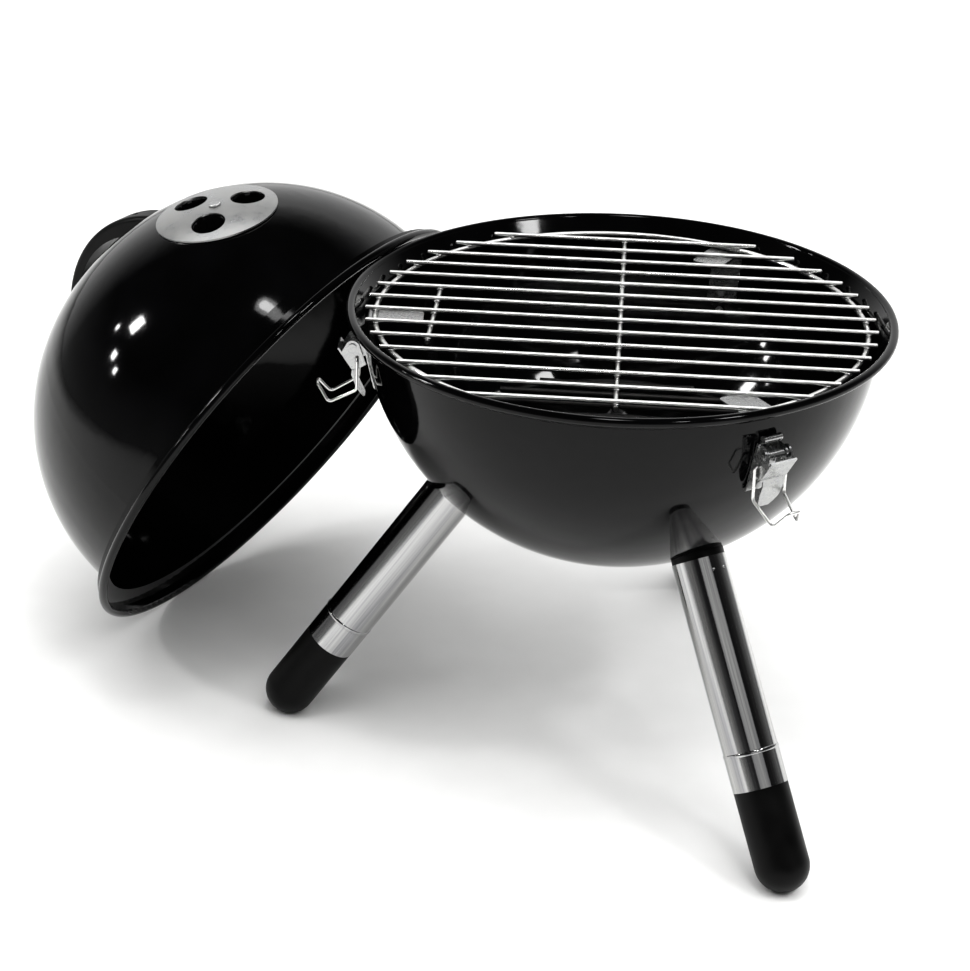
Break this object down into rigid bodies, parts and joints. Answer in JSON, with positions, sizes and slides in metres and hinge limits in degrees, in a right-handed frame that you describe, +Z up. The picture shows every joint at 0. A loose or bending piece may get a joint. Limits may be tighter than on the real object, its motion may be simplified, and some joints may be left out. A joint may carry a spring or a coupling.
{
  "type": "kettle charcoal grill",
  "caption": "Portable round kettle charcoal grill on splayed tubular legs, with wire grates, draw latches and a domed vented lid leaning on the bowl.",
  "frame": {"origin": "on the ground, under the centre of the bowl", "axes": "+Z up, +X along the grate bars away from the lid, -Y towards the side between the front and left legs that the picture is taken from"},
  "size_m": [0.5976, 0.4878, 0.3371],
  "materials": {
    "enamel": "gloss black vitreous enamel",
    "chrome": "bright plated steel tube",
    "zinc": "bright zinc plated sheet",
    "vent_steel": "polished stainless sheet",
    "foot_plastic": "satin black moulded plastic",
    "handle_plastic": "satin black moulded plastic",
    "wire": "bright plated wire",
    "steel": "plain steel wire",
    "fasteners": "zinc plated fasteners"
  },
  "bodies": {
    "stand": {"bowl_shell": "enamel", "damper_rivet": "fasteners", "leg_bolts": "fasteners", "leg_nuts": "fasteners", "latch_pins": "zinc", "latch_washers": "zinc", "latch_rivets": "fasteners", "leg_collar_front": "foot_plastic", "leg_collar_left": "foot_plastic", "leg_collar_back": "foot_plastic", "leg_tube_front": "chrome", "leg_tube_left": "chrome", "leg_tube_back": "chrome", "leg_foot_front": "foot_plastic", "leg_foot_left": "foot_plastic", "leg_foot_back": "foot_plastic", "grate_bracket_front": "zinc", "grate_bracket_left": "zinc", "grate_bracket_back": "zinc", "latch_base_front": "zinc", "latch_base_left": "zinc", "latch_base_back": "zinc"},
    "bowl_vent": {"bowl_damper": "vent_steel"},
    "cooking_grate": {"grate_bars": "wire", "grate_ring": "wire", "grate_cross_wires": "wire"},
    "charcoal_grate": {"charcoal_bars": "steel", "charcoal_ring": "steel"},
    "lid": {"lid_shell": "enamel", "lid_rivet": "fasteners", "lid_handle": "handle_plastic", "handle_screws": "fasteners"},
    "lid_vent": {"lid_damper": "vent_steel"},
    "lever_front": {"latch_lever_front": "zinc"},
    "bail_front": {"latch_bail_front": "wire"},
    "lever_left": {"latch_lever_left": "zinc"},
    "bail_left": {"latch_bail_left": "wire"},
    "lever_back": {"latch_lever_back": "zinc"},
    "bail_back": {"latch_bail_back": "wire"}
  },
  "joints": [
    {"name": "lid_lift", "type": "slide", "parent": "stand", "child": "lid", "axis": [-0.7844, 0.3705, 0.4974], "range_m": [0, 0.3]},
    {"name": "lid_vent_turn", "type": "hinge", "parent": "lid", "child": "lid_vent", "pos_m": [-0.28265, 0.0999, 0.33158], "axis": [-0.1842, -0.111, 0.9766], "range_deg": [0, 60]},
    {"name": "bowl_vent_turn", "type": "hinge", "parent": "stand", "child": "bowl_vent", "pos_m": [0, 0, 0.1455], "axis": [0, 0, 1], "range_deg": [0, 60]},
    {"name": "cooking_grate_lift", "type": "slide", "parent": "stand", "child": "cooking_grate", "axis": [0, 0, 1], "range_m": [0, 0.12]},
    {"name": "charcoal_grate_lift", "type": "slide", "parent": "stand", "child": "charcoal_grate", "axis": [0, 0, 1], "range_m": [0, 0.07]},
    {"name": "lever_turn_front", "type": "hinge", "parent": "stand", "child": "lever_front", "pos_m": [0.09494, -0.14427, 0.2834], "axis": [-0.8353, -0.5498, 0], "range_deg": [0, 60]},
    {"name": "bail_turn_front", "type": "hinge", "parent": "lever_front", "child": "bail_front", "pos_m": [0.0933, -0.14176, 0.27599], "axis": [-0.8353, -0.5498, 0], "range_deg": [-10, 35]},
    {"name": "lever_turn_left", "type": "hinge", "parent": "stand", "child": "lever_left", "pos_m": [-0.17241, -0.01009, 0.2834], "axis": [-0.0584, 0.9983, 0], "range_deg": [0, 60]},
    {"name": "bail_turn_left", "type": "hinge", "parent": "lever_left", "child": "bail_left", "pos_m": [-0.16942, -0.00992, 0.27599], "axis": [-0.0584, 0.9983, 0], "range_deg": [-10, 35]},
    {"name": "lever_turn_back", "type": "hinge", "parent": "stand", "child": "lever_back", "pos_m": [0.07747, 0.15436, 0.2834], "axis": [0.8938, -0.4485, 0], "range_deg": [0, 60]},
    {"name": "bail_turn_back", "type": "hinge", "parent": "lever_back", "child": "bail_back", "pos_m": [0.07612, 0.15168, 0.27599], "axis": [0.8938, -0.4485, 0], "range_deg": [-10, 35]}
  ]
}
